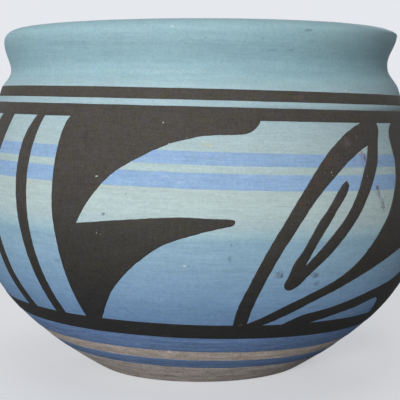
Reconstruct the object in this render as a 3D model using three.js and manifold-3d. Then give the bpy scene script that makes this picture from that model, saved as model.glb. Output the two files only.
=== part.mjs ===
// A squat, wide-mouthed pottery jar with a rolled lip, painted in coloured slips and black figures.
// Millimetres, +Z up. The origin is the middle of the base, on the table. The front faces -Y.
// The clay vessel is one turned wall. Every coat and painted figure is a thin skin that lies on it.

import * as THREE from 'three';
import { mergeVertices } from 'three/addons/utils/BufferGeometryUtils.js';
import Module from 'manifold-3d';

const wasm = await Module();
wasm.setup();

// Driving dimensions of the clay, before any paint
const bodyHeight = 125.4;        // table to the top of the lip
const footRadius = 38.4;         // outer edge of the flat that the jar stands on
const footWidth = 9;             // width of that flat ring
const footHollow = 0.8;          // depth of the dish inside the ring
const underRise = 26.1;          // height over which the wall spreads from the foot
const bellyRadius = 83.6;        // widest part of the jar
const bellyHeight = 61;          // table to the widest part
const bellyTuck = 1.6;           // how far the belly draws in before it turns under
const bellyRound = 14.2;         // height over which the belly turns under
const bellyRise = 3;             // height over which the belly starts to lean in above
const shoulderReach = 27.4;      // length over which the shoulder runs straight
const shoulderLean = 18.2;       // degrees from upright of that run
const shoulderDrop = 7.1;        // narrowest part of the neck down to the top of the shoulder
const shoulderStep = 3.3;        // how much wider the top of the shoulder is than the neck
const neckRadius = 70.6;         // narrowest part of the neck
const neckDrop = 14;             // top of the lip down to the narrowest part of the neck
const lipFlare = 2.3;            // how much wider the lip is than the neck
const lipDrop = 4.4;             // top of the lip down to its widest part
const lipRoll = 2.7;             // mouth's wall out to the circle along the top of the lip
const mouthDrop = 6.2;           // top of the lip down to where the mouth's wall is straight
const wall = 5.4;                // wall thickness
const floorThickness = 7;        // clay under the hollow

// Driving dimensions of the paint. The neck's lines hang from the top of the shoulder, and the
// skirt's bands stand on the foot stripe.
const slip = 0.35;               // thickness of one coat of slip
const seat = 0.25;               // space between a coat and what carries it
const innerCoatDepth = 12;       // top of the lip down to the end of the neck coat inside
const neckLineDrop = 0.9;        // top of the shoulder down to the neck line
const neckLineWidth = 3.6;
const lineGap = 2.1;             // turquoise between the two lines
const shoulderLineWidth = 3.9;
const shoulderCoatWidth = 10;    // pale slip between the shoulder line and the upper stripe
const upperStripeWidth = 4.3;
const stripeGap = 2.3;           // pale slip between the two stripes
const lowerStripeWidth = 5.2;
const skirtBandWidth = 5.3;
const skirtCoatWidth = 6.1;      // blue slip under the skirt band
const bareClayWidth = 3.8;       // bare clay between the blue slip and the foot stripe
const footStripeWidth = 3.8;
const footStripeHeight = 8.2;    // table to the foot stripe

// The painted figures
const repeats = 3;               // sets of figures round the jar
const figureSector = 120;        // degrees of the jar that one set is drawn for
const figureHeight = 66.6;       // height that the figures are drawn for

// Fineness of the facets
const turns = 42;                // facets round the jar
const edgeSteps = 1;             // points for each drawn point of a figure's edge
const cutSteps = 6;              // slices of the block that cuts a figure, so its sides lie true

const degree = Math.PI / 180;

// The wall as stretches of curve, from the foot, over the crest of the lip, to the neck inside
const neckHeight = bodyHeight - neckDrop;
const lipHeight = bodyHeight - lipDrop;
const mouthHeight = bodyHeight - mouthDrop;
const shoulderHeight = neckHeight - shoulderDrop;
const shoulderRadius = neckRadius + shoulderStep;
const lipRadius = neckRadius + lipFlare;
const mouthRadius = neckRadius - wall;
const crestRadius = mouthRadius + lipRoll;
const neckBend = shoulderDrop * 0.45;
const round = 0.5523;            // handle length that makes a cubic curve a quarter round
const leanAcross = Math.sin(shoulderLean * degree);
const leanUp = Math.cos(shoulderLean * degree);
const stretches = [];

function addStretch(rows, ...controls) {
  const points = controls.map(([radius, height]) => new THREE.Vector2(radius, height));
  stretches.push({ rows, curve: new THREE.CubicBezierCurve(...points) });
}

// Foot to belly
addStretch(5, [footRadius, 0], [bellyRadius - bellyTuck, underRise],
  [bellyRadius, bellyHeight - bellyRound], [bellyRadius, bellyHeight]);
// Belly to the top of the shoulder
addStretch(4, [bellyRadius, bellyHeight], [bellyRadius, bellyHeight + bellyRise],
  [shoulderRadius + shoulderReach * leanAcross, shoulderHeight - shoulderReach * leanUp],
  [shoulderRadius, shoulderHeight]);
// Shoulder to neck
addStretch(2, [shoulderRadius, shoulderHeight],
  [shoulderRadius - neckBend * leanAcross, shoulderHeight + neckBend * leanUp],
  [neckRadius, neckHeight - neckBend], [neckRadius, neckHeight]);
// Neck to the widest part of the lip
addStretch(2, [neckRadius, neckHeight], [neckRadius, neckHeight + neckBend],
  [lipRadius, lipHeight - neckBend], [lipRadius, lipHeight]);
// Up round the lip to its crest
addStretch(2, [lipRadius, lipHeight], [lipRadius, lipHeight + lipDrop * round],
  [crestRadius + lipFlare * round, bodyHeight], [crestRadius, bodyHeight]);
// Down into the mouth
addStretch(2, [crestRadius, bodyHeight], [mouthRadius + lipRoll * (1 - round), bodyHeight],
  [mouthRadius, mouthHeight + mouthDrop * round], [mouthRadius, mouthHeight]);
// Straight down to the neck inside
addStretch(1, [mouthRadius, mouthHeight], [mouthRadius, mouthHeight * 2 / 3 + neckHeight / 3],
  [mouthRadius, mouthHeight / 3 + neckHeight * 2 / 3], [mouthRadius, neckHeight]);
const crestStation = 5;
const mouthStation = 6;
const innerNeckStation = 7;

// A station is a stretch's number plus how far along it a point lies.
// This gives the point there, moved out from the clay by `out`.
function wallPoint(station, out = 0) {
  const index = Math.min(Math.floor(station), stretches.length - 1);
  const along = station - index;
  const point = stretches[index].curve.getPoint(along);
  const way = stretches[index].curve.getTangent(along);
  return new THREE.Vector2(point.x + way.y * out, point.y - way.x * out);
}

// The station where the outside of the clay passes a height, below the crest
function stationAt(height) {
  let low = 0;
  let high = crestStation;
  for (let step = 0; step < 48; step++) {
    const middle = (low + high) / 2;
    if (wallPoint(middle).y < height) low = middle;
    else high = middle;
  }
  return (low + high) / 2;
}

// The stations of the facet rows between two stations, ends included
const rowStations = stretches.flatMap(({ rows }, index) =>
  Array.from({ length: rows }, (_, row) => index + row / rows));

function rowsBetween(from, to) {
  const least = 0.04;
  return [from, ...rowStations.filter((station) => station > from + least && station < to - least), to];
}

// Turns a closed profile of [radius, height] points about the upright axis
function turned(profile) {
  const geometry = new THREE.LatheGeometry([...profile, profile[0]], turns);
  geometry.rotateX(Math.PI / 2);
  return closed(geometry);
}

// Merges a geometry's corners, leaves only their positions and turns its faces outwards
function closed(geometry) {
  geometry.deleteAttribute('normal');
  geometry.deleteAttribute('uv');
  const merged = mergeVertices(geometry, 1e-4);
  const { array } = merged.getAttribute('position');
  const index = [];
  let volume = 0;
  for (let at = 0; at < merged.index.count; at += 3) {
    const corners = [0, 1, 2].map((corner) => merged.index.getX(at + corner));
    if (new Set(corners).size < 3) continue;
    const [a, b, c] = corners.map((corner) => new THREE.Vector3().fromArray(array, corner * 3));
    volume += a.dot(b.cross(c));
    index.push(...corners);
  }
  merged.setIndex(volume > 0 ? index : index.reverse());
  return merged;
}

// A thin skin on the outside of the clay between two stations, `from` below `to`
function skin(from, to, inner, outer) {
  const rows = rowsBetween(from, to);
  const outward = rows.map((station) => wallPoint(station, outer));
  const inward = rows.map((station) => wallPoint(station, inner)).reverse();
  return turned([...outward, ...inward]);
}

// Coats lie on the clay, and black lies on the coats
const coatUnder = seat;
const coatOver = coatUnder + slip;
const blackUnder = coatOver + seat;
const blackOver = blackUnder + slip;

function coat(low, high) {
  return skin(stationAt(low), stationAt(high), coatUnder, coatOver);
}

function blackRing(top, width) {
  return skin(stationAt(top - width), stationAt(top), blackUnder, blackOver);
}

// The clay vessel: outside and lip, then the hollow as the outside moved in by the wall
function clayBody() {
  const shell = rowsBetween(0, innerNeckStation).map((station) => wallPoint(station));
  const hollowStations = [2.6, 2, 1.6, 1.2, 0.9, 0.65, 0.4];
  const hollow = hollowStations.map((station) => wallPoint(station, -wall));
  const flatRadius = footRadius - footWidth;
  const floorEdge = new THREE.Vector2(flatRadius, floorThickness);
  const floorBend = new THREE.Vector2(footRadius, floorThickness);
  const bowl = new THREE.QuadraticBezierCurve(hollow.at(-1), floorBend, floorEdge).getPoints(3).slice(1);
  const middle = [new THREE.Vector2(0, floorThickness), new THREE.Vector2(0, footHollow)];
  const dish = [new THREE.Vector2(flatRadius - footHollow, footHollow), new THREE.Vector2(flatRadius, 0)];
  return turned([...dish, ...shell, ...hollow, ...bowl, ...middle]);
}

// Outlines of the figures on the unrolled jar: degrees round it from the front, positive to the
// right, and millimetres up from the skirt band. Each row of an outline is one smooth edge.
const arc = [
  [[-44.3, 66.6], [-47.7, 60], [-48.9, 50], [-47.8, 40.3], [-44.6, 24], [-41, 0]],
  [[-37.4, 0], [-39.4, 15.8], [-42.9, 34], [-44.4, 49], [-43.2, 60], [-41.3, 66.6]],
];

const hook = [
  [[-32.6, 66.6], [-35.1, 58.5], [-35.5, 45], [-33.8, 26], [-30.8, 0]],
  [[-26, 0], [-23.1, 5.9], [-18.2, 15], [-10.4, 24.8], [6.3, 33.3]],
  [[7.6, 34.9], [6.1, 36.1], [-8, 35.7], [-28, 32.5]],
  [[-24.9, 40.4], [-18.9, 49.1], [-9, 57.4], [0.1, 61.1], [8.8, 62], [12.8, 63.9], [14.2, 66.6]],
];

const feather = [
  [[42.7, 66.6], [36.5, 62.8], [29.9, 55.7], [22.2, 42.7], [15.2, 27.1], [10, 10.4], [8.4, 0]],
  [[11.9, 0], [13.5, 10.7], [18.1, 25.6], [26.6, 42.2], [34.5, 52.3], [44, 59.2]],
  [[42.9, 55.2], [37.6, 42.6], [30.2, 29.9], [24.1, 21.1]],
  [[27.1, 28.9], [32.5, 39.5], [35.9, 46.3], [35.3, 47.8]],
  [[33.7, 46.6], [28.5, 37.7], [22.8, 25.4], [20, 16.7], [19.4, 13.9], [20.4, 12.6], [21.8, 12.9]],
  [[24.3, 15.8], [33.9, 29.7], [41.9, 43.2], [47.9, 56.8], [49.9, 64.7], [49.6, 66.6]],
];

// A bowed stem whose tails sweep down to the left. One set has no lower tail.
const sweepTop = [[58.7, 66.6], [55.7, 65.4], [54.5, 61], [54.7, 54], [51.9, 42.5], [44.5, 29.7],
  [36.3, 18.2], [26.9, 11.2], [13.3, 2.2]];
const upperTail = [[16.4, 0], [23.7, 4.7], [33.6, 11.4], [43.1, 17.4], [53, 22.4], [61, 26.5]];
const lowerTail = [
  [[64, 16], [55.3, 12], [44, 8.4], [30, 4], [21.6, 0]],
  [[30.9, 0], [38, 2.1], [47.1, 4.7], [54.5, 5.8], [57.3, 0]],
];
const plainFoot = [[63.8, 17.1], [65.6, 8], [67, 0]];
const stemRight = [[71.2, 0], [67.6, 15], [63.3, 30.5], [60.4, 47.8], [61.3, 57], [64.8, 66.6]];
const sweep = [sweepTop, upperTail, ...lowerTail, stemRight];
const plainSweep = [sweepTop, upperTail, plainFoot, stemRight];

// Draws an outline of smooth edges that meet at corners
function drawn(edges) {
  const outline = new THREE.Shape();
  const [start] = edges[0];
  outline.moveTo(...start);
  for (const edge of edges) {
    const [first, ...rest] = edge;
    if (edge !== edges[0]) outline.lineTo(...first);
    outline.splineThru(rest.map(([across, up]) => new THREE.Vector2(across, up)));
  }
  outline.closePath();
  return outline;
}

// Heights of the bands and lines
const neckLineTop = shoulderHeight - neckLineDrop;
const shoulderLineTop = neckLineTop - neckLineWidth - lineGap;
const shoulderLineFoot = shoulderLineTop - shoulderLineWidth;
const upperStripeTop = shoulderLineFoot - shoulderCoatWidth;
const upperStripeFoot = upperStripeTop - upperStripeWidth;
const lowerStripeTop = upperStripeFoot - stripeGap;
const lowerStripeFoot = lowerStripeTop - lowerStripeWidth;
const footStripeTop = footStripeHeight + footStripeWidth;
const skirtCoatFoot = footStripeTop + bareClayWidth;
const skirtBandFoot = skirtCoatFoot + skirtCoatWidth;
const skirtBandTop = skirtBandFoot + skirtBandWidth;

// The ring of black slip that the figures are cut from, between the skirt band and the shoulder line
const figureRing = solid(skin(stationAt(skirtBandTop + seat), stationAt(shoulderLineFoot - seat),
  blackUnder, blackOver));
const figureReach = shoulderLineFoot - skirtBandTop;

function solid(geometry) {
  return new wasm.Manifold(new wasm.Mesh({
    numProp: 3,
    vertProperties: new Float32Array(geometry.getAttribute('position').array),
    triVerts: new Uint32Array(geometry.index.array),
  }));
}

function geometryOf(body) {
  const { vertProperties, triVerts } = body.getMesh();
  const geometry = new THREE.BufferGeometry();
  geometry.setAttribute('position', new THREE.BufferAttribute(vertProperties, 3));
  geometry.setIndex(new THREE.BufferAttribute(triVerts, 1));
  return geometry;
}

// Wraps an outline round the jar as a block that reaches from inside the wall to outside it,
// and keeps what the block shares with the black ring
function figure(edges, set) {
  const block = new THREE.ExtrudeGeometry(drawn(edges),
    { depth: 1, steps: cutSteps, bevelEnabled: false, curveSegments: edgeSteps });
  const corners = block.getAttribute('position');
  const near = bellyRadius * 0.8;
  const far = bellyRadius * 1.5;
  const sector = 360 / repeats;
  for (let at = 0; at < corners.count; at++) {
    const angle = (corners.getX(at) / figureSector + set) * sector * degree;
    const radius = near + (far - near) * corners.getZ(at);
    const height = skirtBandTop + corners.getY(at) * figureReach / figureHeight;
    corners.setXYZ(at, radius * Math.sin(angle), -radius * Math.cos(angle), height);
  }
  return geometryOf(figureRing.intersect(solid(closed(block))));
}

// Colours of the clay and the slips
const paint = (color, roughness) => new THREE.MeshStandardMaterial({ color, roughness, metalness: 0 });
const clay = paint(0xb8afa8, 0.9);
const turquoise = paint(0x98bdc7, 0.75);
const paleSlip = paint(0xb5cdd2, 0.8);
const periwinkle = paint(0x9cbfe3, 0.8);
const blendedBlue = paint(0x8eb1c6, 0.8);
const deepBlue = paint(0x6a86ae, 0.8);
const blackSlip = paint(0x3a3835, 0.7);

const jar = new THREE.Group();

function add(name, geometry, material) {
  const mesh = new THREE.Mesh(geometry, material);
  mesh.name = name;
  jar.add(mesh);
}

add('clay_body', clayBody(), clay);

// Coats, from the mouth down. Two that meet leave a seam of one seat between them.
const seam = seat / 2;
const neckJoint = shoulderLineFoot + shoulderLineWidth / 2;
const skirtJoint = skirtBandFoot + skirtBandWidth / 2;
const innerCoatStation = mouthStation + (innerCoatDepth - mouthDrop) / (neckDrop - mouthDrop);
add('neck_coat', skin(stationAt(neckJoint + seam), innerCoatStation, coatUnder, coatOver), turquoise);
add('shoulder_coat', coat(upperStripeTop + seam, neckJoint - seam), paleSlip);
add('upper_stripe', coat(upperStripeFoot + seam, upperStripeTop - seam), periwinkle);
add('between_coat', coat(lowerStripeTop + seam, upperStripeFoot - seam), paleSlip);
add('lower_stripe', coat(lowerStripeFoot + seam, lowerStripeTop - seam), periwinkle);
add('belly_coat', coat(skirtJoint + seam, lowerStripeFoot - seam), blendedBlue);
add('skirt_coat', coat(skirtCoatFoot, skirtJoint - seam), deepBlue);
add('foot_stripe', coat(footStripeHeight, footStripeTop), deepBlue);

// Black lines and figures
add('neck_line', blackRing(neckLineTop, neckLineWidth), blackSlip);
add('shoulder_line', blackRing(shoulderLineTop, shoulderLineWidth), blackSlip);
add('skirt_band', blackRing(skirtBandTop, skirtBandWidth), blackSlip);
for (let set = 0; set < repeats; set++) {
  const last = set === repeats - 1;
  add(`arc_${set + 1}`, figure(arc, set), blackSlip);
  add(`hook_${set + 1}`, figure(hook, set), blackSlip);
  add(`feather_${set + 1}`, figure(feather, set), blackSlip);
  add(`sweep_${set + 1}`, figure(last ? plainSweep : sweep, set), blackSlip);
}

export default jar;
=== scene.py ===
# A squat, wide-mouthed pottery jar with a rolled lip, painted in coloured slips and black figures.
# Metres, +Z up, with the middle of the base at the origin and the front facing -Y.
# Sizes of the jar are written in millimetres and turned into metres where a mesh is made.

import math

import bpy
import numpy as np
from mathutils.geometry import delaunay_2d_cdt
from mathutils.noise import noise as noise_at
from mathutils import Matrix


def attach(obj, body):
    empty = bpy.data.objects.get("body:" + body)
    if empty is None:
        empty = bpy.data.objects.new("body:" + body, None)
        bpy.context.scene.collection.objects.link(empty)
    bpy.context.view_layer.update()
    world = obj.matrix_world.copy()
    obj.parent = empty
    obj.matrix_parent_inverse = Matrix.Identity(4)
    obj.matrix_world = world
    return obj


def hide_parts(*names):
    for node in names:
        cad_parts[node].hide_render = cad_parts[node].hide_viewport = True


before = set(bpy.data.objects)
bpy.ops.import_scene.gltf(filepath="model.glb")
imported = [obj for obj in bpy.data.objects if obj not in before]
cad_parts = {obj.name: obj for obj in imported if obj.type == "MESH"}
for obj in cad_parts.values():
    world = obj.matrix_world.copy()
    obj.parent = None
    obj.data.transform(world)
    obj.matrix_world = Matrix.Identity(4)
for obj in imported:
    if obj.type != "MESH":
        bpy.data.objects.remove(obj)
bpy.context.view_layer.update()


# The clay vessel
# One piece of buff earthenware, thrown on a wheel with a wall about 5 mm thick, a rolled lip and
# a small flat base. A template gives its wall, which is turned round the upright axis.
mm = 0.001              # a millimetre in metres
foot_radius = 38.9
foot_width = 9
foot_hollow = 0.8
foot_round = 0.9
belly_radius = 84.15
belly_height = 61
shoulder_radius = 74.5
shoulder_height = 104.5
neck_radius = 71.05
neck_height = 111.3
lip_radius = 73.4
lip_height = 121.5
crest_radius = 68.0
crest_height = 125.9
mouth_radius = 65.3
mouth_height = 119.8
wall = 5.6
floor_height = 7
floor_dip = 0.4         # how far the floor inside sinks towards its middle
bowl_height = 27.5      # where the wall inside starts to turn into the bowl
neck_bend = 5           # how far below the neck the wall inside starts to open
ring_pitch = 6.5        # the potter's fingers leave a spiral up the inside
ring_depth = 0.22
ring_fade = 30          # radius within which the spiral dies away
ring_free_rows = 20     # rows of the template past the crest that it leaves smooth
clay_columns = 320
weld = 0.01             # points nearer than this are one


def bezier(controls, rows):
    """Points along a cubic curve, as rows of radius and height"""
    along = np.linspace(0, 1, rows + 1)[:, None]
    back = 1 - along
    a, b, c, d = np.array(controls, float)
    return a * back**3 + 3 * b * back**2 * along + 3 * c * back * along**2 + d * along**3


def outer_wall(fineness):
    """The template's outside from the foot to the neck inside, and where the crest lies in it"""
    stretches = [
        (56, [(foot_radius, 0), (82.5, 26.1), (belly_radius, 46.8), (belly_radius, belly_height)]),
        (36, [(belly_radius, belly_height), (belly_radius, 64), (82.86, 78.5),
              (shoulder_radius, shoulder_height)]),
        (10, [(shoulder_radius, shoulder_height), (73.34, 107.5), (neck_radius, 108.1),
              (neck_radius, neck_height)]),
        (12, [(neck_radius, neck_height), (neck_radius, 114), (lip_radius, 117.6),
              (lip_radius, lip_height)]),
        (16, [(lip_radius, lip_height), (lip_radius, 124.3), (70.5, crest_height),
              (crest_radius, crest_height)]),
        (12, [(crest_radius, crest_height), (66.5, crest_height), (mouth_radius, 123.2),
              (mouth_radius, mouth_height)]),
        (6, [(mouth_radius, mouth_height), (mouth_radius, 117), (mouth_radius - 0.2, 114),
             (mouth_radius - 0.3, neck_height)]),
    ]
    past_crest = 2          # of the stretches, how many lie past the crest
    parts = [bezier(controls, rows * fineness)[1:] for rows, controls in stretches]
    crest = sum(len(part) for part in parts[:-past_crest])
    return np.vstack([[(foot_radius, 0)], *parts]), crest


def outward(points):
    """Directions square to a row of points, out of the clay"""
    way = np.gradient(points, axis=0)
    way /= np.linalg.norm(way, axis=1)[:, None]
    return np.column_stack([way[:, 1], -way[:, 0]])


def whole_wall():
    """The template of the whole vessel, from under the base, over the lip, to the floor inside"""
    outside, crest = outer_wall(1)
    flat = foot_radius - foot_width
    flat_edge = 0.1
    dish = bezier([(0, foot_hollow), (flat / 3, foot_hollow), (flat * 2 / 3, foot_hollow),
                   (flat - foot_hollow, foot_hollow)], 8)
    foot = bezier([(flat, flat_edge), (flat + foot_hollow, 0), (foot_radius - 2 * foot_round, 0),
                   (foot_radius - foot_round, 0)], 4)
    turn_up = bezier([(foot_radius - foot_round, 0), (foot_radius - foot_round / 3, 0),
                      (foot_radius, 0), outside[1]], 4)[1:]
    low_inside = outside - outward(outside) * wall
    inside = low_inside[(low_inside[:, 1] < neck_height - neck_bend)
                        & (np.arange(len(outside)) < crest)
                        & (low_inside[:, 1] > bowl_height)][::-1]
    lead_out = (-0.8, 2.2)
    neck_inside = bezier([outside[-1], (outside[-1, 0], neck_height - neck_bend / 2),
                          inside[0] + lead_out, inside[0]], 5)[1:-1]
    bend = np.array([foot_radius, floor_height])
    floor_edge = np.array([flat, floor_height])
    bowl = bezier([inside[-1], inside[-1] / 3 + bend * 2 / 3, bend * 2 / 3 + floor_edge / 3,
                   floor_edge], 22)[1:]
    sunk = floor_height - floor_dip
    floor = bezier([floor_edge, (flat / 2, floor_height), (flat / 4, sunk), (0, sunk)], 10)[1:]
    rows = [dish, foot, turn_up, outside[2:], neck_inside, inside, bowl, floor]
    crest_row = len(dish) + len(foot) + len(turn_up) + crest - 2
    return np.vstack(rows), crest_row


def node(tree, kind, inputs=None, **settings):
    """Adds a node and fills its inputs, by name or place, with values or with what feeds them"""
    made = tree.nodes.new(kind)
    for name, value in settings.items():
        setattr(made, name, value)
    for place, value in (inputs or {}).items():
        if isinstance(value, bpy.types.Node):
            value = value.outputs[0]
        if isinstance(value, bpy.types.NodeSocket):
            tree.links.new(value, made.inputs[place])
        else:
            made.inputs[place].default_value = value
    return made


def maths(tree, operation, first, second=0.0):
    """One sum with numbers"""
    return node(tree, "ShaderNodeMath", {0: first, 1: second}, operation=operation)


def vectors(tree, operation, first, second=None, scale=None):
    """One sum with a vector and a second vector, or a number that scales it"""
    inputs = {0: first}
    if second is not None:
        inputs[1] = second
    if scale is not None:
        inputs["Scale"] = scale
    return node(tree, "ShaderNodeVectorMath", inputs, operation=operation)


def new_tree(kind, name, inputs, outputs):
    """A node tree with named inputs and outputs, given as name: (socket type, default value)"""
    tree = bpy.data.node_groups.new(name, kind)
    for in_out, sockets in (("INPUT", inputs), ("OUTPUT", outputs)):
        for socket_name, (socket_type, value) in sockets.items():
            made = tree.interface.new_socket(socket_name, in_out=in_out, socket_type=socket_type)
            if value is not None:
                made.default_value = value
    return tree, tree.nodes.new("NodeGroupInput"), tree.nodes.new("NodeGroupOutput")


def fill(tree, last, *sources):
    """Joins what feeds a tree's outputs, in their order"""
    for socket, source in zip(last.inputs, sources):
        tree.links.new(source.outputs[0] if isinstance(source, bpy.types.Node) else source, socket)


def thrown_unevenness():
    """A wheel-thrown wall is never quite round: pushes a place in or out by a slow noise"""
    tree, given, last = new_tree(
        "GeometryNodeTree", "thrown_unevenness",
        {"Place": ("NodeSocketVector", None), "Depth": ("NodeSocketFloat", 0.0),
         "Swells Per Metre": ("NodeSocketFloat", 11.0)},
        {"Moved Place": ("NodeSocketVector", None)})
    noise = node(tree, "ShaderNodeTexNoise",
                 {"Vector": given.outputs["Place"], "Scale": given.outputs["Swells Per Metre"],
                  "Detail": 1.0}, noise_dimensions="3D")
    amount = maths(tree, "MULTIPLY", maths(tree, "SUBTRACT", noise, 0.5), given.outputs["Depth"])
    across = vectors(tree, "MULTIPLY", given.outputs["Place"], (1, 1, 0))
    push = vectors(tree, "SCALE", vectors(tree, "NORMALIZE", across), scale=amount)
    fill(tree, last, vectors(tree, "ADD", given.outputs["Place"], push))
    return tree


unevenness_tree = thrown_unevenness()
unevenness = 0.5
lip_pull = 2.6          # on its right the lip was pulled up higher, into a sharper edge
neck_pinch = 0.6        # and the neck there is a little tighter
lip_spread = 0.5        # and the lip a little wider
right_side = (0.45, 0.98)       # where that starts and is full, in shares of the way to the right
pulled_radii = (mouth_radius + 1.2, crest_radius + 1.5)         # the mouth's inside stays as it is
pulled_heights = (shoulder_height, neck_height + 3.7)           # the pull grows over these
crest_heights = (lip_height - 1.5, crest_height + 0.4)          # and ends over these
pinched_heights = (shoulder_height, neck_height - 1.3)
spread_heights = (neck_height, lip_height)


def pulled_lip():
    """Lifts the neck and lip on the right-hand side, outside only, between shoulder and crest"""
    tree, given, last = new_tree(
        "GeometryNodeTree", "pulled_lip",
        {"Place": ("NodeSocketVector", None), "Pull": ("NodeSocketFloat", lip_pull * mm),
         "Pinch": ("NodeSocketFloat", neck_pinch * mm), "Spread": ("NodeSocketFloat", lip_spread * mm)},
        {"Moved Place": ("NodeSocketVector", None)})

    def eased(value, span, before=0.0, after=1.0, unit=mm):
        """Goes smoothly from one number to another over a span of the value"""
        return node(tree, "ShaderNodeMapRange",
                    {"Value": value, "From Min": span[0] * unit, "From Max": span[1] * unit,
                     "To Min": before, "To Max": after},
                    interpolation_type="SMOOTHSTEP").outputs[0]

    height = node(tree, "ShaderNodeSeparateXYZ", {0: given.outputs["Place"]}).outputs["Z"]
    across = vectors(tree, "MULTIPLY", given.outputs["Place"], (1, 1, 0))
    radius = vectors(tree, "LENGTH", across).outputs["Value"]
    way = vectors(tree, "NORMALIZE", across)
    to_right = node(tree, "ShaderNodeSeparateXYZ", {0: way}).outputs["X"]
    share = maths(tree, "MULTIPLY", eased(to_right, right_side, unit=1), eased(radius, pulled_radii))
    rise = maths(tree, "MULTIPLY", eased(height, pulled_heights), eased(height, crest_heights, 1.0, 0.0))
    pinched_in = maths(tree, "MULTIPLY", given.outputs["Pinch"], -1.0)
    swell = maths(tree, "MULTIPLY", eased(height, pinched_heights),
                  eased(height, spread_heights, pinched_in, given.outputs["Spread"]))
    lift = maths(tree, "MULTIPLY", maths(tree, "MULTIPLY", rise, share), given.outputs["Pull"])
    up = node(tree, "ShaderNodeCombineXYZ", {"Z": lift})
    push = vectors(tree, "SCALE", way, scale=maths(tree, "MULTIPLY", swell, share))
    shift = vectors(tree, "ADD", up, push)
    fill(tree, last, vectors(tree, "ADD", given.outputs["Place"], shift))
    return tree


pulled_lip_tree = pulled_lip()


def turned_wall():
    """Turns a template of points round the upright axis into one closed body"""
    tree, given, last = new_tree(
        "GeometryNodeTree", "turned_wall",
        {"Template": ("NodeSocketGeometry", None), "Columns": ("NodeSocketInt", 64),
         "Unevenness": ("NodeSocketFloat", 0.0), "Crest Row": ("NodeSocketInt", 0),
         "Ring Pitch": ("NodeSocketFloat", 0.01), "Ring Depth": ("NodeSocketFloat", 0.0),
         "Material": ("NodeSocketMaterial", None)},
        {"Vessel": ("NodeSocketGeometry", None)})
    rows = node(tree, "GeometryNodeAttributeDomainSize",
                {0: given.outputs["Template"]}).outputs["Point Count"]
    sheet = node(tree, "GeometryNodeMeshGrid",
                 {"Vertices X": maths(tree, "ADD", given.outputs["Columns"], 1.0), "Vertices Y": rows})
    index = node(tree, "GeometryNodeInputIndex")
    column = maths(tree, "FLOOR", maths(tree, "DIVIDE", maths(tree, "ADD", index, 0.5), rows))
    row = maths(tree, "SUBTRACT", index, maths(tree, "MULTIPLY", column, rows))
    position = node(tree, "GeometryNodeInputPosition")
    place = node(tree, "GeometryNodeSampleIndex",
                 {"Geometry": given.outputs["Template"], "Value": position, "Index": row},
                 data_type="FLOAT_VECTOR")
    angle = maths(tree, "MULTIPLY", maths(tree, "DIVIDE", column, given.outputs["Columns"]), 2 * math.pi)
    parts = node(tree, "ShaderNodeSeparateXYZ", {0: place})
    climb = maths(tree, "MULTIPLY", maths(tree, "DIVIDE", parts.outputs["Z"], given.outputs["Ring Pitch"]),
                  2 * math.pi)
    swell = maths(tree, "SINE", maths(tree, "ADD", climb, angle))
    is_inside = maths(tree, "GREATER_THAN", row,
                      maths(tree, "ADD", given.outputs["Crest Row"], ring_free_rows))
    off_axis = node(tree, "ShaderNodeMapRange",
                    {"Value": parts.outputs["X"], "From Min": 0.0, "From Max": ring_fade * mm})
    depth = maths(tree, "MULTIPLY", maths(tree, "MULTIPLY", swell, given.outputs["Ring Depth"]),
                  maths(tree, "MULTIPLY", is_inside, off_axis))
    ringed = node(tree, "ShaderNodeCombineXYZ",
                  {"X": maths(tree, "ADD", parts.outputs["X"], depth), "Z": parts.outputs["Z"]})
    turned = node(tree, "ShaderNodeVectorRotate", {"Vector": ringed, "Angle": angle},
                  rotation_type="Z_AXIS")
    pulled = node(tree, "GeometryNodeGroup", {"Place": turned}, node_tree=pulled_lip_tree)
    uneven = node(tree, "GeometryNodeGroup", {"Place": pulled, "Depth": given.outputs["Unevenness"]},
                  node_tree=unevenness_tree)
    placed = node(tree, "GeometryNodeSetPosition", {"Geometry": sheet, "Position": uneven})
    closed = node(tree, "GeometryNodeMergeByDistance", {"Geometry": placed, "Distance": weld * mm})
    smooth = node(tree, "GeometryNodeSetShadeSmooth", {"Geometry": closed})
    real = node(tree, "GeometryNodeRealizeInstances", {"Geometry": smooth})
    fill(tree, last, node(tree, "GeometryNodeSetMaterial",
                          {"Geometry": real, "Material": given.outputs["Material"]}))
    return tree


def drawn_mesh(name, points, edges=(), faces=()):
    """A mesh of points, edges and faces in plain numbers"""
    mesh = bpy.data.meshes.new(name)
    mesh.from_pydata([tuple(point) for point in points], [tuple(edge) for edge in edges],
                     [tuple(face) for face in faces])
    return mesh


def made_by(tree, name, drawing, values):
    """Runs a tree on a drawing with its named inputs set, and keeps the result as a plain mesh"""
    draft = bpy.data.objects.new(name + "_draft", drawing)
    bpy.context.scene.collection.objects.link(draft)
    modifier = draft.modifiers.new(tree.name, "NODES")
    modifier.node_group = tree
    for socket in tree.interface.items_tree:
        if socket.in_out == "INPUT" and socket.name in values:
            modifier[socket.identifier] = values[socket.name]
    graph = bpy.context.evaluated_depsgraph_get()
    mesh = bpy.data.meshes.new_from_object(draft.evaluated_get(graph), depsgraph=graph)
    bpy.data.objects.remove(draft)
    piece = bpy.data.objects.new(name, mesh)
    bpy.context.scene.collection.objects.link(piece)
    return piece


def hand_in(piece, slot, *nodes):
    """Every piece rides on the one body and stands for its nodes, whose parts it hides; its slot is not
    used
    """
    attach(piece, "root")
    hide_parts(*nodes)


ring_lean = 1.66        # degrees: the painted rings were laid on a slightly tilted wheel head
line_lean = 1.42        # the two black lines lean a little less
stripe_lean = 2.0       # the stripes and the skirt's bands a little more


def chart(red, green, blue):
    """A colour as a painter's chart gives it, 0 to 255, in the linear light that shaders use"""
    shares = [part / 255 for part in (red, green, blue)]
    return tuple(share / 12.92 if share <= 0.04045 else ((share + 0.055) / 1.055) ** 2.4
                 for share in shares)


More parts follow.
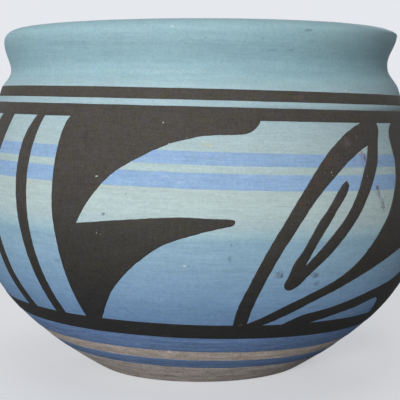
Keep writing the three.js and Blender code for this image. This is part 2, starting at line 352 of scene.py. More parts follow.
def effect(tree, group, **values):
    """Places a shared effect in a material or in another effect, with its own values"""
    return node(tree, "ShaderNodeGroup", values, node_tree=group)


def painted_height():
    """Millimetres above the table along the painted rings, which lean a little"""
    tree, given, last = new_tree("ShaderNodeTree", "painted_height",
                                 {"Position": ("NodeSocketVector", None)},
                                 {"Height": ("NodeSocketFloat", None)})
    parts = node(tree, "ShaderNodeSeparateXYZ", {0: given.outputs["Position"]})
    lean = maths(tree, "MULTIPLY", parts.outputs["X"], math.tan(math.radians(ring_lean)))
    fill(tree, last, maths(tree, "DIVIDE", maths(tree, "ADD", parts.outputs["Z"], lean), mm))
    return tree


def turning_streaks():
    """Fine lines round the jar, as a brush or a rib leaves them on the turning wheel"""
    tree, given, last = new_tree(
        "ShaderNodeTree", "turning_streaks",
        {"Position": ("NodeSocketVector", None), "Width": ("NodeSocketFloat", 0.5),
         "Length": ("NodeSocketFloat", 40.0), "Seed": ("NodeSocketFloat", 0.0)},
        {"Streak": ("NodeSocketFloat", None)})
    height = effect(tree, painted_height_tree, Position=given.outputs["Position"])
    parts = node(tree, "ShaderNodeSeparateXYZ", {0: given.outputs["Position"]})
    reach = maths(tree, "MULTIPLY", given.outputs["Length"], mm)
    drawn_out = node(tree, "ShaderNodeCombineXYZ",
                     {"X": maths(tree, "DIVIDE", parts.outputs["X"], reach),
                      "Y": maths(tree, "DIVIDE", parts.outputs["Y"], reach),
                      "Z": maths(tree, "DIVIDE", height, given.outputs["Width"])})
    noise = node(tree, "ShaderNodeTexNoise",
                 {"Vector": drawn_out, "W": given.outputs["Seed"], "Scale": 1.0, "Detail": 3.0,
                  "Roughness": 0.6}, noise_dimensions="4D")
    fill(tree, last, noise)
    return tree


def clay_grain():
    """An even grain of a given size in millimetres: sand in clay, or cloudy slip when it is large"""
    tree, given, last = new_tree(
        "ShaderNodeTree", "clay_grain",
        {"Position": ("NodeSocketVector", None), "Size": ("NodeSocketFloat", 0.5),
         "Seed": ("NodeSocketFloat", 0.0)},
        {"Grain": ("NodeSocketFloat", None)})
    scale = maths(tree, "DIVIDE", 1 / mm, given.outputs["Size"])
    noise = node(tree, "ShaderNodeTexNoise",
                 {"Vector": given.outputs["Position"], "W": given.outputs["Seed"], "Scale": scale,
                  "Detail": 2.0, "Roughness": 0.55}, noise_dimensions="4D")
    fill(tree, last, noise)
    return tree


def flecks():
    """Scattered ragged flecks, such as grit, pinholes and small chips"""
    tree, given, last = new_tree(
        "ShaderNodeTree", "flecks",
        {"Position": ("NodeSocketVector", None), "Spacing": ("NodeSocketFloat", 5.0),
         "Radius": ("NodeSocketFloat", 0.3), "Share": ("NodeSocketFloat", 0.5),
         "Seed": ("NodeSocketFloat", 0.0)},
        {"Fleck": ("NodeSocketFloat", None)})
    grain_size = 0.35
    smallest = 0.35         # the least fleck, as a share of the radius
    core = 0.55             # the share of a fleck that is full
    per_cell = maths(tree, "DIVIDE", 1 / mm, given.outputs["Spacing"])
    spread = vectors(tree, "SCALE", given.outputs["Position"], scale=per_cell)
    moved = vectors(tree, "ADD", spread, given.outputs["Seed"])
    cells = node(tree, "ShaderNodeTexVoronoi", {"Vector": moved, "Scale": 1.0})
    ragged = effect(tree, clay_grain_tree, Position=given.outputs["Position"], Size=grain_size)
    away = maths(tree, "MULTIPLY", cells.outputs["Distance"], given.outputs["Spacing"])
    edge = maths(tree, "MULTIPLY", maths(tree, "SUBTRACT", ragged, 0.5), given.outputs["Radius"])
    pick = node(tree, "ShaderNodeSeparateColor", {0: cells.outputs["Color"]})
    varied = maths(tree, "MULTIPLY", pick.outputs["Green"], 1 - smallest)
    size = maths(tree, "MULTIPLY", given.outputs["Radius"], maths(tree, "ADD", varied, smallest))
    mask = node(tree, "ShaderNodeMapRange",
                {"Value": maths(tree, "ADD", away, edge), "From Min": size,
                 "From Max": maths(tree, "MULTIPLY", size, core)})
    chosen = maths(tree, "LESS_THAN", pick.outputs["Red"], given.outputs["Share"])
    fill(tree, last, maths(tree, "MULTIPLY", mask, chosen))
    return tree


def blemish_and_sheen_spot():
    """One ragged mark at a place on the wall, such as a stain, a scuff, a chip or a spot of painted
    highlight
    """
    tree, given, last = new_tree(
        "ShaderNodeTree", "blemish_and_sheen_spot",
        {"Position": ("NodeSocketVector", None), "Place": ("NodeSocketVector", None),
         "Width": ("NodeSocketFloat", 1.0), "Tall": ("NodeSocketFloat", 1.0),
         "Raggedness": ("NodeSocketFloat", 1.0)},
        {"Mark": ("NodeSocketFloat", None)})
    grain_size = 0.7
    core = 0.45
    away = vectors(tree, "SUBTRACT", given.outputs["Position"], given.outputs["Place"])
    across = maths(tree, "MULTIPLY", given.outputs["Width"], mm / 2)
    size = node(tree, "ShaderNodeCombineXYZ",
                {"X": across, "Y": across, "Z": maths(tree, "MULTIPLY", given.outputs["Tall"], mm / 2)})
    share = vectors(tree, "DIVIDE", away, size)
    distance = vectors(tree, "LENGTH", share).outputs["Value"]
    ragged = effect(tree, clay_grain_tree, Position=given.outputs["Position"], Size=grain_size)
    edge = maths(tree, "MULTIPLY", maths(tree, "SUBTRACT", ragged, 0.5), given.outputs["Raggedness"])
    fill(tree, last, node(tree, "ShaderNodeMapRange",
                          {"Value": maths(tree, "ADD", distance, edge), "From Min": 1.0, "From Max": core},
                          interpolation_type="SMOOTHSTEP"))
    return tree


painted_height_tree = painted_height()
turning_streaks_tree = turning_streaks()
clay_grain_tree = clay_grain()
flecks_tree = flecks()
blemish_and_sheen_spot_tree = blemish_and_sheen_spot()


def summed(tree, first, *terms):
    """first + amount * (value - 0.5) for each term of (value, amount)"""
    total = first
    for value, amount in terms:
        part = maths(tree, "MULTIPLY", maths(tree, "SUBTRACT", value, 0.5), amount)
        total = maths(tree, "ADD", part, total)
    return total


sheen = 0.3             # unglazed slip and clay throw back little light
streak_step = 2.3       # each row of streaks, and the tint, has a seed of its own
tint_step = 9
rough_streaks = 0.2     # how much the roughness follows the streaks and the clouds
rough_clouds = 0.3


def finish(name, shades, streaks, clouds, grain, tint, roughness, relief, seed=0.0, blur=0.0):
    """A fired surface whose shades go by painted height, and what varies them, in millimetres.
    streaks: rows of (width, length, strength); clouds and grain: (size, strength);
    tint: (size, how far the hue strays, how far the saturation strays);
    relief: how deep the first streaks and the grain go; blur: how far the shades stray."""
    material = bpy.data.materials.new(name)
    material.use_nodes = True
    tree = material.node_tree
    shader = tree.nodes["Principled BSDF"]
    shader.inputs["Specular IOR Level"].default_value = sheen
    place = node(tree, "ShaderNodeTexCoord").outputs["Object"]
    drawn = [(effect(tree, turning_streaks_tree, Position=place, Width=width, Length=length,
                     Seed=seed + number * streak_step), strength)
             for number, (width, length, strength) in enumerate(streaks)]
    cloudy = effect(tree, clay_grain_tree, Position=place, Size=clouds[0], Seed=seed)
    grainy = effect(tree, clay_grain_tree, Position=place, Size=grain[0], Seed=seed)
    tinted = effect(tree, clay_grain_tree, Position=place, Size=tint[0], Seed=seed + tint_step)
    height = effect(tree, painted_height_tree, Position=place)
    low, high = shades[0][0], shades[-1][0]
    level = node(tree, "ShaderNodeMapRange",
                 {"Value": summed(tree, height, (drawn[-1][0], blur), (cloudy, blur)),
                  "From Min": low, "From Max": high})
    ramp = node(tree, "ShaderNodeValToRGB", {0: level})
    stops = ramp.color_ramp.elements
    stops[0].color = (*chart(*shades[0][1]), 1)
    stops[1].color = (*chart(*shades[-1][1]), 1)
    for at, shade in shades[1:-1]:
        stops.new((at - low) / (high - low)).color = (*chart(*shade), 1)
    varied = node(tree, "ShaderNodeHueSaturation",
                  {"Color": ramp, "Hue": summed(tree, 0.5, (tinted, tint[1])),
                   "Saturation": summed(tree, 1.0, (tinted, tint[2])),
                   "Value": summed(tree, 1.0, *drawn, (cloudy, clouds[1]), (grainy, grain[1]))})
    tree.links.new(varied.outputs[0], shader.inputs["Base Color"])
    uneven = summed(tree, roughness, (drawn[0][0], rough_streaks), (cloudy, rough_clouds))
    tree.links.new(uneven.outputs[0], shader.inputs["Roughness"])
    depth = summed(tree, 0.0, (drawn[0][0], relief[0]), (grainy, relief[1]))
    bump = node(tree, "ShaderNodeBump", {"Strength": 1.0, "Distance": mm, "Height": depth})
    tree.links.new(bump.outputs[0], shader.inputs["Normal"])
    return material


def paint_over(material, mask, shade, strength=1.0):
    """Lays one more colour on a finish, where a mask made in its tree lies"""
    # A Mix node takes its two colours at places 6 and 7 and gives the mixed one at place 2
    tree = material.node_tree
    color = tree.nodes["Principled BSDF"].inputs["Base Color"]
    under = color.links[0].from_socket
    over = node(tree, "ShaderNodeMix",
                {0: maths(tree, "MULTIPLY", mask, strength), 6: under, 7: (*chart(*shade), 1)},
                data_type="RGBA")
    tree.links.new(over.outputs[2], color)


def scatter(material, shade, spacing, radius, share, strength, seed):
    """Lays flecks of a colour all over a finish"""
    tree = material.node_tree
    place = node(tree, "ShaderNodeTexCoord").outputs["Object"]
    mask = effect(tree, flecks_tree, Position=place, Spacing=spacing, Radius=radius, Share=share,
                  Seed=seed)
    paint_over(material, mask, shade, strength)


wall_line, crest_index = outer_wall(1)
wall_radii, wall_heights = wall_line[:crest_index].T


def on_wall(degrees, height):
    """The place on the outside, in metres, at degrees from the front and a painted height"""
    around = math.radians(degrees)
    radius = np.interp(height, wall_heights, wall_radii)
    level = height - math.tan(math.radians(ring_lean)) * radius * math.sin(around)
    radius = np.interp(level, wall_heights, wall_radii)
    return (radius * math.sin(around) * mm, -radius * math.cos(around) * mm, level * mm)


def mark(material, degrees, height, width, tall, shade, strength, raggedness=1.0):
    """Lays one stain, scuff, chip or spot of painted highlight on a finish"""
    tree = material.node_tree
    place = node(tree, "ShaderNodeTexCoord").outputs["Object"]
    mask = effect(tree, blemish_and_sheen_spot_tree, Position=place, Place=on_wall(degrees, height),
                  Width=width, Tall=tall, Raggedness=raggedness)
    paint_over(material, mask, shade, strength)


def weathered_and_sheened(material, flecks_on_it, marks_on_it):
    """Lays flecks, as rows of shade, spacing, radius, share, strength and seed, and then marks, some of
    them painted highlights, as rows of degrees from the front, painted height, width, tallness, shade,
    strength and raggedness"""
    for row in flecks_on_it:
        scatter(material, *row)
    for row in marks_on_it:
        mark(material, *row)


turned_wall_tree = turned_wall()
template, crest_row = whole_wall()
clay_shade = (187, 178, 171)
clay_finish = finish("bare_clay",
                     [(0, (178, 169, 164)), (7, clay_shade), (13, (194, 180, 170)),
                      (126, (194, 184, 174))],
                     streaks=[(0.6, 8, 1.2), (0.9, 35, 0.9), (3, 90, 0.7)], clouds=(4, 0.6),
                     grain=(0.6, 1.3), tint=(4, 0.07, 0.9), roughness=0.85, relief=(0.2, 0.12),
                     seed=1.0, blur=2.0)
clay_flecks = [((120, 104, 92), 2.2, 0.28, 0.35, 0.5, 3.0), ((212, 204, 194), 2.8, 0.3, 0.3, 0.5, 8.0)]
clay_marks = [
    (-14.8, 3.2, 5, 1.8, (112, 102, 98), 0.5, 2), (-9.7, 15.4, 1.6, 0.8, (236, 234, 230), 0.9, 1),
    (26.1, 6.4, 1.4, 0.8, (214, 208, 200), 0.6, 2), (28.6, 5.2, 1.2, 0.7, (210, 204, 198), 0.5, 2),
    (24.2, 4.4, 1.0, 0.6, (206, 200, 194), 0.5, 2), (33.5, 13.9, 1.3, 0.8, (206, 200, 194), 0.5, 2),
]
weathered_and_sheened(clay_finish, clay_flecks, clay_marks)
clay = made_by(
    turned_wall_tree, "clay_vessel",
    drawn_mesh("clay_template", [(radius * mm, 0, height * mm) for radius, height in template]),
    {"Columns": clay_columns, "Unevenness": unevenness * mm, "Crest Row": crest_row,
     "Ring Pitch": ring_pitch * mm, "Ring Depth": ring_depth * mm, "Material": clay_finish})
hand_in(clay, "bare_clay", "clay_body")


# The neck coat
# Turquoise slip brushed over the lip while the jar turned: from the neck line up over the rim and
# a little way down into the mouth, where it ends in a soft brushed edge.
slip_rise = 0.1         # a coat's thickness above the clay
slip_soak = 0.12        # how far a coat reaches into the clay under it
neck_joint = 95.75      # where the neck coat meets the shoulder coat, under the shoulder line
mouth_coat_depth = 12   # how far down the mouth it goes
mouth_coat_fade = 2.0   # height over which it thins out there


def neck_coat_template():
    """A closed loop: the coat's face from its lower edge over the lip, and back under it"""
    kept = [i for i, height in enumerate(wall_line[:, 1])
            if height > (neck_joint if i <= crest_index else crest_height - mouth_coat_depth)]
    line = wall_line[kept]
    way = outward(wall_line)[kept]
    face = line + way * slip_rise
    back = line - way * slip_soak
    return np.vstack([face, back[::-1], face[:1]])


def softly_ended(material, level, fade):
    """Lets the slip inside the mouth thin out to bare clay below a level"""
    tree = material.node_tree
    place = node(tree, "ShaderNodeTexCoord").outputs["Object"]
    off_axis = vectors(tree, "LENGTH", vectors(tree, "MULTIPLY", place, (1, 1, 0))).outputs["Value"]
    is_inside = maths(tree, "LESS_THAN", off_axis, (mouth_radius + 1) * mm)
    streak = effect(tree, turning_streaks_tree, Position=place, Width=3.0, Length=22.0, Seed=31.0)
    height = effect(tree, painted_height_tree, Position=place)
    thin = node(tree, "ShaderNodeMapRange",
                {"Value": summed(tree, height, (streak, fade * 3)), "From Min": level + fade,
                 "From Max": level})
    paint_over(material, maths(tree, "MULTIPLY", thin, is_inside), clay_shade)


turquoise = finish("turquoise_slip",
                   [(95, (178, 205, 213)), (104, (177, 205, 213)), (107, (170, 205, 213)),
                    (111, (159, 196, 206)), (117, (156, 193, 203)), (121, (163, 200, 209)),
                    (126, (165, 200, 208))],
                   streaks=[(0.5, 7, 0.22), (1.2, 24, 0.28), (5, 90, 0.2)], clouds=(12, 0.12),
                   grain=(0.75, 0.36), tint=(3, 0.03, 0.3), roughness=0.66, relief=(0.04, 0.05),
                   seed=2.0, blur=1.5)
turquoise_flecks = [((108, 138, 148), 3.2, 0.3, 0.4, 0.4, 11.0),
                    ((205, 222, 224), 3.6, 0.3, 0.3, 0.6, 17.0)]
turquoise_marks_and_sheen = [
    (28.6, 123.4, 4.6, 1.1, (104, 128, 132), 0.55, 2), (18.8, 116.5, 4, 0.8, (118, 148, 156), 0.4, 3),
    (23.9, 116.8, 3.4, 0.8, (118, 148, 156), 0.4, 3), (15.8, 120.1, 0.8, 0.8, (104, 132, 140), 0.5, 1),
    (16.7, 124.9, 0.5, 3.2, (96, 118, 122), 0.5, 1), (1.4, 119.6, 0.8, 0.8, (110, 140, 148), 0.5, 1),
    # The first mark on the next line is a painted glint, a small pale spot on the lip; the second is a
    # chip above the neck line
    (-6.8, 122.8, 1.7, 0.7, (222, 238, 238), 0.7, 1), (40.1, 104.4, 1.6, 0.7, (228, 238, 238), 0.9, 1),
    # These two wide, pale, speckled marks are a painted highlight: sheen along the neck's narrowest part
    (-9, 108.5, 28, 1.3, (200, 223, 230), 0.36, 6), (7, 107.6, 24, 1.2, (200, 223, 230), 0.24, 6),
]
weathered_and_sheened(turquoise, turquoise_flecks, turquoise_marks_and_sheen)
softly_ended(turquoise, crest_height - mouth_coat_depth + mouth_coat_fade / 4, mouth_coat_fade)
neck_loop = neck_coat_template()
neck_coat = made_by(
    turned_wall_tree, "neck_coat",
    drawn_mesh("neck_template", [(radius * mm, 0, height * mm) for radius, height in neck_loop]),
    {"Columns": clay_columns, "Unevenness": unevenness * mm, "Crest Row": len(neck_loop),
     "Material": turquoise})
hand_in(neck_coat, "turquoise_slip", "neck_coat")


# The shoulder, between and belly coats
# Pale slip brushed round the body in three bands that the stripes part. The lowest runs from pale
# into blue slip, and its blue darkens on towards the skirt band, partly as painted shade of the lower
# belly.
coat_columns = 480
coat_row = 1.5          # height of one row of a coat's faces
edge_round = 0.3        # width over which a coat's edge rounds off
edge_curve = [(0, 0), (0.12, 0.45), (0.45, 0.85), (1, 1)]       # shares across it and up it
fine_weld = 0.002
ribbon_width = 10
ribbon_fineness = 8     # how many times finer the ribbon's rows are than the clay's


def wall_reader():
    """Reads the clay's radius and the way out of it at a height, from a ribbon of the template"""
    tree, given, last = new_tree(
        "GeometryNodeTree", "wall_reader",
        {"Ribbon": ("NodeSocketGeometry", None), "Height": ("NodeSocketFloat", 0.0)},
        {"Place": ("NodeSocketVector", None), "Way Out": ("NodeSocketVector", None),
         "Radius": ("NodeSocketFloat", None)})
    far_out = 0.2
    source = node(tree, "ShaderNodeCombineXYZ", {"X": far_out, "Z": given.outputs["Height"]})
    ray = node(tree, "GeometryNodeRaycast",
               {"Target Geometry": given.outputs["Ribbon"], "Source Position": source,
                "Ray Direction": (-1, 0, 0), "Ray Length": far_out * 1.5})
    radius = node(tree, "ShaderNodeSeparateXYZ", {0: ray.outputs["Hit Position"]})
    fill(tree, last, ray.outputs["Hit Position"], ray.outputs["Hit Normal"], radius.outputs["X"])
    return tree


def laid_on_wall():
    """Lays a flat drawing on the wall: X is radians round the jar from the front, Y the height
    along the painted rings and Z the distance out of the clay"""
    tree, given, last = new_tree(
        "GeometryNodeTree", "laid_on_wall",
        {"Drawing": ("NodeSocketGeometry", None), "Ribbon": ("NodeSocketObject", None),
         "Lean": ("NodeSocketFloat", 0.0), "Turn": ("NodeSocketFloat", 0.0),
         "Brush Waver": ("NodeSocketFloat", 0.0), "Brush Length": ("NodeSocketFloat", 0.01),
         "Unevenness": ("NodeSocketFloat", 0.0), "Seed": ("NodeSocketFloat", 0.0),
         "Material": ("NodeSocketMaterial", None)},
        {"Piece": ("NodeSocketGeometry", None)})
    reader = wall_reader()
    ribbon = node(tree, "GeometryNodeObjectInfo", {"Object": given.outputs["Ribbon"]}).outputs["Geometry"]
    drawing = node(tree, "ShaderNodeSeparateXYZ", {0: node(tree, "GeometryNodeInputPosition")})
    angle = maths(tree, "ADD", drawing.outputs["X"], given.outputs["Turn"])
    level = node(tree, "GeometryNodeGroup", {"Ribbon": ribbon, "Height": drawing.outputs["Y"]},
                 node_tree=reader)
    side = maths(tree, "MULTIPLY", maths(tree, "SINE", angle), level.outputs["Radius"])
    lean = maths(tree, "MULTIPLY", side, given.outputs["Lean"])
    round_jar = node(tree, "ShaderNodeCombineXYZ",
                     {"X": side, "Y": maths(tree, "MULTIPLY", maths(tree, "COSINE", angle),
                                            level.outputs["Radius"]),
                      "Z": drawing.outputs["Y"]})
    scale = maths(tree, "DIVIDE", 1.0, given.outputs["Brush Length"])
    waver = node(tree, "ShaderNodeTexNoise",
                 {"Vector": round_jar, "W": given.outputs["Seed"], "Scale": scale, "Detail": 2.0},
                 noise_dimensions="4D")
    centred = vectors(tree, "SUBTRACT", waver.outputs["Color"], (0.5, 0.5, 0.5))
    strayed = vectors(tree, "SCALE", centred, scale=given.outputs["Brush Waver"])
    stray = node(tree, "ShaderNodeSeparateXYZ", {0: strayed})
    height = maths(tree, "ADD", maths(tree, "SUBTRACT", drawing.outputs["Y"], lean), stray.outputs["X"])
    found = node(tree, "GeometryNodeGroup", {"Ribbon": ribbon, "Height": height}, node_tree=reader)
    lift = vectors(tree, "SCALE", found.outputs["Way Out"], scale=drawing.outputs["Z"])
    lifted = vectors(tree, "ADD", found.outputs["Place"], lift)
    swing = maths(tree, "DIVIDE", stray.outputs["Y"], level.outputs["Radius"])
    turn = maths(tree, "SUBTRACT", maths(tree, "ADD", angle, swing), math.pi / 2)
    turned = node(tree, "ShaderNodeVectorRotate", {"Vector": lifted, "Angle": turn},
                  rotation_type="Z_AXIS")
    uneven = node(tree, "GeometryNodeGroup", {"Place": turned, "Depth": given.outputs["Unevenness"]},
                  node_tree=unevenness_tree)
    placed = node(tree, "GeometryNodeSetPosition",
                  {"Geometry": given.outputs["Drawing"], "Position": uneven})
    closed = node(tree, "GeometryNodeMergeByDistance", {"Geometry": placed, "Distance": fine_weld * mm})
    smooth = node(tree, "GeometryNodeSetShadeSmooth", {"Geometry": closed})
    real = node(tree, "GeometryNodeRealizeInstances", {"Geometry": smooth})
    fill(tree, last, node(tree, "GeometryNodeSetMaterial",
                          {"Geometry": real, "Material": given.outputs["Material"]}))
    return tree


def template_ribbon():
    """A narrow upright ribbon in the clay's outline, from the foot to the crest"""
    outside, crest = outer_wall(ribbon_fineness)
    line = outside[:crest + 1]
    points = [(radius * mm, side * ribbon_width / 2 * mm, height * mm)
              for radius, height in line for side in (-1, 1)]
    faces = [(2 * i, 2 * i + 1, 2 * i + 3, 2 * i + 2) for i in range(len(line) - 1)]
    ribbon = bpy.data.objects.new("template_ribbon", drawn_mesh("template_ribbon", points, (), faces))
    bpy.context.scene.collection.objects.link(ribbon)
    return ribbon


laid_on_wall_tree = laid_on_wall()
ribbon = template_ribbon()


def band_drawing(name, low, high, rise, base):
    """A ring as a flat drawing: its face at `rise` out of the clay, its back at `base`"""
    inner_low = low + edge_round
    inner_high = high - edge_round
    rows = max(2, round((inner_high - inner_low) / coat_row))
    middle = np.linspace(inner_low, inner_high, rows + 1)[1:-1]
    face = [(low + edge_round * across, base + (rise - base) * up) for across, up in edge_curve]
    face += [(height, rise) for height in middle]
    face += [(high - edge_round * across, base + (rise - base) * up) for across, up in edge_curve[::-1]]
    back = [(height, base) for height in middle[::-1]]
    loop = face + back
    count = len(loop)
    points = []
    faces = []
    for column in range(coat_columns + 1):
        around = (column / coat_columns * 2 - 1) * math.pi
        points += [(around, height * mm, out * mm) for height, out in loop]
    for column in range(coat_columns):
        here = column * count
        there = here + count
        for row in range(count):
            after = (row + 1) % count
            faces.append((here + row, there + row, there + after, here + after))
    return drawn_mesh(name, points, (), faces)


def laid(name, drawing, material, lean, waver=0.0, length=12.0, turn=0.0, seed=0.0):
    """Lays a drawing on the wall: lean and turn in degrees, the brush's waver and its length in mm"""
    return made_by(
        laid_on_wall_tree, name, drawing,
        {"Ribbon": ribbon, "Lean": math.tan(math.radians(lean)), "Turn": math.radians(turn),
         "Brush Waver": waver * mm, "Brush Length": length * mm, "Unevenness": unevenness * mm,
         "Seed": seed, "Material": material})


upper_stripe_top = 83.85
upper_stripe_foot = 79.5
lower_stripe_top = 77.2
lower_stripe_foot = 72
stripe_lap = 1.0        # how far a stripe runs over the pale slip beside it
skirt_joint = 24.5      # where the belly coat meets the skirt coat, under the skirt band
pale_flecks = [((116, 140, 158), 3.4, 0.3, 0.4, 0.4, 21.0), ((218, 228, 230), 3.8, 0.28, 0.35, 0.5, 27.0)]
marks_of_use = [
    (1.9, 85.9, 2.6, 1.6, (212, 205, 150), 0.55, 2), (0.6, 86.1, 1.5, 1.0, (206, 202, 160), 0.4, 2),
    (-43, 71, 2.6, 1.8, (205, 203, 160), 0.5, 2), (-20.5, 71.8, 1.2, 0.8, (214, 210, 160), 0.5, 1),
    (41.2, 83.8, 3.4, 4.6, (150, 130, 160), 0.45, 4), (42.3, 82.4, 2.0, 3.6, (96, 80, 100), 0.75, 4),
    (43.2, 79.6, 1.6, 2.8, (112, 92, 110), 0.6, 4), (45.2, 72.6, 1.7, 2.2, (84, 62, 76), 0.85, 3),
    (45.7, 70.4, 1.8, 4.6, (128, 108, 130), 0.6, 4), (46.8, 66.8, 2.0, 4.6, (120, 100, 116), 0.6, 4),
    (47.6, 69.2, 0.7, 0.8, (88, 78, 92), 0.7, 1), (48.8, 66.6, 0.7, 0.7, (88, 78, 92), 0.7, 1),
    (49.3, 63.8, 0.6, 0.7, (96, 84, 96), 0.6, 1), (17.8, 45.2, 3.2, 3.6, (96, 106, 120), 0.6, 3),
    (18.4, 45, 1.4, 2.2, (84, 96, 110), 0.6, 3),
    (16.6, 44.8, 1.6, 1.0, (150, 158, 170), 0.5, 2), (27, 44.8, 3.4, 2.4, (88, 102, 124), 0.65, 3),
    (28, 42, 2.8, 2, (92, 112, 138), 0.5, 3), (-16.2, 69.7, 0.9, 1.0, (112, 128, 134), 0.6, 2),
    (-21.3, 63.1, 1.5, 1.3, (104, 116, 124), 0.7, 3), (-20.9, 63.7, 0.7, 0.6, (206, 214, 212), 0.6, 1),
    (-3.4, 47.9, 1.1, 0.9, (214, 222, 226), 0.65, 2), (-2.5, 47.9, 0.9, 0.9, (104, 118, 140), 0.5, 2),
    (6.7, 55, 0.7, 2.2, (96, 118, 138), 0.5, 2), (-7.6, 75.8, 4.2, 0.4, (206, 220, 236), 0.6, 1),
    (-4.2, 74.2, 3.0, 0.35, (206, 220, 236), 0.6, 1), (-1.0, 73.1, 1.6, 0.3, (206, 222, 232), 0.5, 1),
    (31.6, 52.3, 0.9, 0.6, (210, 218, 226), 0.5, 1), (2.8, 69.6, 0.8, 0.5, (216, 226, 224), 0.5, 1),
    (41.6, 81.8, 4.6, 6, (140, 150, 185), 0.3, 2), (45.2, 71.2, 3.4, 5, (140, 156, 172), 0.35, 2),
    (46.6, 67.4, 3, 5.5, (140, 158, 168), 0.35, 2), (6.3, 50.6, 1.3, 2.2, (96, 120, 146), 0.4, 3),
    (-34, 46.4, 2.6, 2.4, (104, 128, 150), 0.4, 4),
]
slip_streaks = [(0.5, 5, 0.42), (0.8, 18, 0.3), (3.5, 90, 0.14)]
pale = finish("pale_slip", [(74, (189, 211, 212)), (86, (185, 209, 213)), (95, (180, 206, 213))],
              streaks=slip_streaks, clouds=(11, 0.1), grain=(0.75, 0.42), tint=(1.6, 0.05, 0.4),
              roughness=0.72, relief=(0.03, 0.03), seed=3.0, blur=2.0)
blend = finish("belly_blend_slip",
               # Below about 56 mm the blue darkens downwards: partly the slip's own colour, partly painted
               # shade
               [(24, (105, 137, 178)), (31, (120, 154, 191)), (37, (131, 166, 200)),
                (44, (140, 174, 202)), (51, (148, 182, 204)), (55.2, (149, 183, 204)),
                (56.6, (159, 194, 209)), (58.2, (173, 203, 213)), (61, (184, 206, 211)),
                (64.5, (192, 212, 212)), (73, (194, 213, 212))],
               streaks=slip_streaks, clouds=(11, 0.1), grain=(0.75, 0.36), tint=(1.6, 0.03, 0.25),
               roughness=0.72, relief=(0.03, 0.03), seed=4.0, blur=1.6)
weathered_and_sheened(pale, pale_flecks, marks_of_use)
weathered_and_sheened(blend, pale_flecks, marks_of_use)
for name, low, high, slip, lean in (
        ("shoulder_coat", upper_stripe_top - stripe_lap, neck_joint, pale, line_lean),
        ("between_coat", lower_stripe_top - stripe_lap, upper_stripe_foot + stripe_lap, pale,
         stripe_lean),
        ("belly_coat", skirt_joint, lower_stripe_foot + stripe_lap, blend, stripe_lean)):
    coat = laid(name, band_drawing(name, low, high, slip_rise, -slip_soak), slip, lean)
    hand_in(coat, "pale_slip" if slip is pale else "belly_blend_slip", name)


# The two shoulder stripes
# Periwinkle slip laid over the pale coat with a loaded brush while the jar turned, so their
# edges waver a little.
stripe_rise = 0.15
periwinkle = finish("periwinkle_slip", [(72, (156, 190, 227)), (84, (158, 191, 228))],
                    streaks=slip_streaks, clouds=(8, 0.12), grain=(0.75, 0.42), tint=(1.6, 0.03, 0.3),
                    roughness=0.72, relief=(0.03, 0.03), seed=5.0, blur=1.0)
weathered_and_sheened(periwinkle, pale_flecks, marks_of_use)
for name, low, high, seed in (("upper_stripe", upper_stripe_foot, upper_stripe_top, 1.0),
                              ("lower_stripe", lower_stripe_foot, lower_stripe_top, 2.0)):
    stripe = laid(name, band_drawing(name, low, high, stripe_rise, 0), periwinkle, stripe_lean,
                  waver=0.3, length=9, seed=seed)
    hand_in(stripe, "periwinkle_slip", name)


# The skirt coat and the foot stripe
# Blue slip under the skirt band, and one thin stripe of it on the bare clay lower down; its deeper shade
# is partly the slip's own and partly painted shade, darkening towards the foot.
# Both are thin and streaky, because the brush was running dry.
skirt_coat_foot = 15.8
foot_stripe_top = 12
foot_stripe_foot = 8.2
deep_and_shaded_blue = finish("blue_slip", [(8, (100, 127, 164)), (15, (104, 131, 172)), (22, (108, 136, 178))],
                   streaks=[(0.5, 9, 1.1), (0.9, 40, 1.0), (3, 80, 0.3)], clouds=(8, 0.15),
                   grain=(0.6, 0.8), tint=(1.5, 0.06, 0.4), roughness=0.78, relief=(0.1, 0.06),
                   seed=6.0, blur=1.5)
blue_flecks = [((158, 150, 146), 2.6, 0.35, 0.3, 0.5, 33.0)]
blue_marks = [(-9.7, 15.9, 1.6, 0.8, (236, 234, 230), 0.9)]
weathered_and_sheened(deep_and_shaded_blue, blue_flecks, blue_marks)
for name, low, high, seed in (("skirt_coat", skirt_coat_foot, skirt_joint, 3.0),
                              ("foot_stripe", foot_stripe_foot, foot_stripe_top, 4.0)):
    coat = laid(name, band_drawing(name, low, high, slip_rise, -slip_soak), deep_and_shaded_blue, stripe_lean,
                waver=0.45, length=9, seed=seed)
    hand_in(coat, "blue_slip", name)


# The black rings
# Two lines round the bottom of the neck and the band that the figures stand on, in a thick black
# slip that sits a little proud of the coats.
black_rise = 0.24
black_base = 0.02
neck_line_top = 103.5
neck_line_foot = 99.8
shoulder_line_top = 97.8
shoulder_line_foot = 93.65
skirt_band_top = 27.4
skirt_band_foot = 21.9
